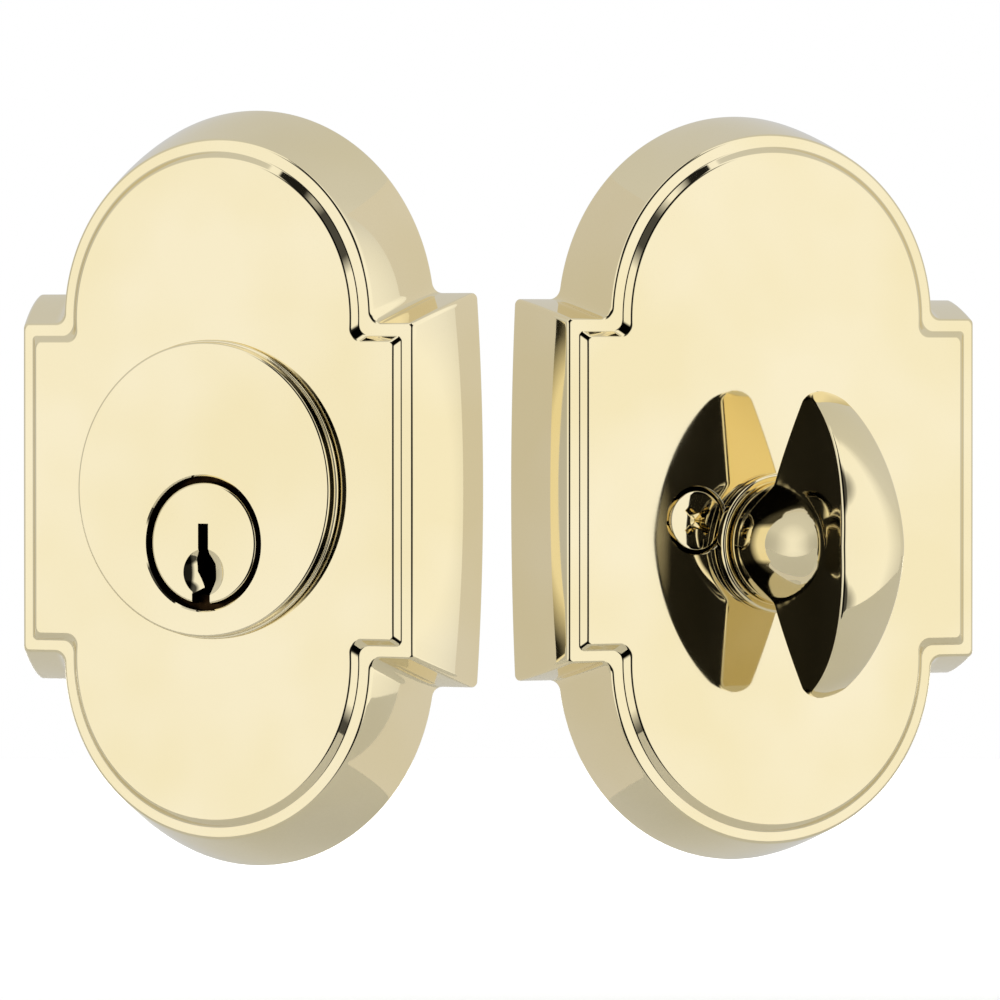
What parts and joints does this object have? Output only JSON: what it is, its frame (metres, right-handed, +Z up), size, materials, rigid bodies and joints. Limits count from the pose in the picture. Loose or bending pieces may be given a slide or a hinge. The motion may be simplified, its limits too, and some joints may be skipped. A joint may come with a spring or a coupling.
{
  "type": "deadbolt door lock",
  "caption": "Deadbolt lock with a keyed outside trim, a thumb-turn inside trim, a pin-tumbler cylinder and a crank-driven sliding bolt.",
  "frame": {"origin": "on the door's cross-bore axis, at the door's outside face, behind the outside escutcheon", "axes": "+Y into the door, +Z up, +X to the right as seen from outside; the inside trim stands to the right with its face yawed 57.5 degrees from the outside one"},
  "size_m": [0.1272, 0.0712, 0.0968],
  "materials": {
    "polished_brass": "cast, machined, polished to a mirror and clear lacquered",
    "cast_brass": "turned or stamped brass, left as machined",
    "zinc_plated_steel": "stamped steel with a bright zinc plate",
    "hardened_steel": "hardened and oil-blackened steel",
    "nickel_silver": "turned nickel silver",
    "spring_bronze": "drawn phosphor bronze wire"
  },
  "bodies": {
    "root": {"outside_escutcheon": "polished_brass", "cylinder_housing": "polished_brass", "outside_bore_ring": "zinc_plated_steel", "chamber_cap": "cast_brass", "bolt_face_ring": "polished_brass", "bolt_case_tube": "zinc_plated_steel", "case_plate_outer": "zinc_plated_steel", "case_plate_inner": "zinc_plated_steel", "case_rivet_1": "zinc_plated_steel", "case_rivet_2": "zinc_plated_steel", "inside_escutcheon": "polished_brass", "inside_bore_ring": "zinc_plated_steel", "through_bolt_left": "polished_brass", "through_bolt_right": "polished_brass", "turn_washer": "zinc_plated_steel", "pin_spring_1": "spring_bronze", "pin_spring_2": "spring_bronze", "pin_spring_3": "spring_bronze", "pin_spring_4": "spring_bronze", "pin_spring_5": "spring_bronze"},
    "plug": {"key_plug": "polished_brass", "plug_cap": "cast_brass"},
    "crank": {"crank": "zinc_plated_steel", "crank_pin": "hardened_steel", "tailpiece": "zinc_plated_steel"},
    "bolt": {"bolt": "polished_brass", "bolt_tail": "zinc_plated_steel"},
    "thumb_turn": {"thumb_turn": "polished_brass", "retaining_ring": "hardened_steel"},
    "driver_pin_1": {"driver_pin_1": "nickel_silver"},
    "key_pin_1": {"key_pin_1": "cast_brass"},
    "driver_pin_2": {"driver_pin_2": "nickel_silver"},
    "key_pin_2": {"key_pin_2": "cast_brass"},
    "driver_pin_3": {"driver_pin_3": "nickel_silver"},
    "key_pin_3": {"key_pin_3": "cast_brass"},
    "driver_pin_4": {"driver_pin_4": "nickel_silver"},
    "key_pin_4": {"key_pin_4": "cast_brass"},
    "driver_pin_5": {"driver_pin_5": "nickel_silver"},
    "key_pin_5": {"key_pin_5": "cast_brass"}
  },
  "joints": [
    {"name": "thumb_turn_hinge", "type": "hinge", "parent": "root", "child": "thumb_turn", "pos_m": [0.06477, 0.0233, -0.0068], "axis": [-0.8434, 0.5373, 0], "range_deg": [0, 90]},
    {"name": "crank_hinge", "type": "hinge", "parent": "root", "child": "crank", "pos_m": [0, 0.02225, -0.0068], "axis": [0, -1, 0], "range_deg": [0, 90]},
    {"name": "bolt_slide", "type": "slide", "parent": "root", "child": "bolt", "axis": [-1, 0, 0], "range_m": [0, 0.0254]},
    {"name": "plug_hinge", "type": "hinge", "parent": "root", "child": "plug", "pos_m": [0, 0, -0.0068], "axis": [0, -1, 0], "range_deg": [-100, 100]},
    {"name": "driver_pin_1_slide", "type": "slide", "parent": "root", "child": "driver_pin_1", "axis": [0, 0, 1], "range_m": [0, 0.0015], "deforming": ["pin_spring_1"]},
    {"name": "key_pin_1_slide", "type": "slide", "parent": "plug", "child": "key_pin_1", "axis": [0, 0, 1], "range_m": [-0.0014, 0]},
    {"name": "driver_pin_2_slide", "type": "slide", "parent": "root", "child": "driver_pin_2", "axis": [0, 0, 1], "range_m": [0, 0.0015], "deforming": ["pin_spring_2"]},
    {"name": "key_pin_2_slide", "type": "slide", "parent": "plug", "child": "key_pin_2", "axis": [0, 0, 1], "range_m": [-0.0014, 0]},
    {"name": "driver_pin_3_slide", "type": "slide", "parent": "root", "child": "driver_pin_3", "axis": [0, 0, 1], "range_m": [0, 0.0015], "deforming": ["pin_spring_3"]},
    {"name": "key_pin_3_slide", "type": "slide", "parent": "plug", "child": "key_pin_3", "axis": [0, 0, 1], "range_m": [-0.0014, 0]},
    {"name": "driver_pin_4_slide", "type": "slide", "parent": "root", "child": "driver_pin_4", "axis": [0, 0, 1], "range_m": [0, 0.0015], "deforming": ["pin_spring_4"]},
    {"name": "key_pin_4_slide", "type": "slide", "parent": "plug", "child": "key_pin_4", "axis": [0, 0, 1], "range_m": [-0.0014, 0]},
    {"name": "driver_pin_5_slide", "type": "slide", "parent": "root", "child": "driver_pin_5", "axis": [0, 0, 1], "range_m": [0, 0.0015], "deforming": ["pin_spring_5"]},
    {"name": "key_pin_5_slide", "type": "slide", "parent": "plug", "child": "key_pin_5", "axis": [0, 0, 1], "range_m": [-0.0014, 0]}
  ],
  "couplings": [
    {"joint": "crank_hinge", "follows": "thumb_turn_hinge", "ratio": 1},
    {"joint": "bolt_slide", "follows": "thumb_turn_hinge", "m_per_rad": 0.01617}
  ]
}
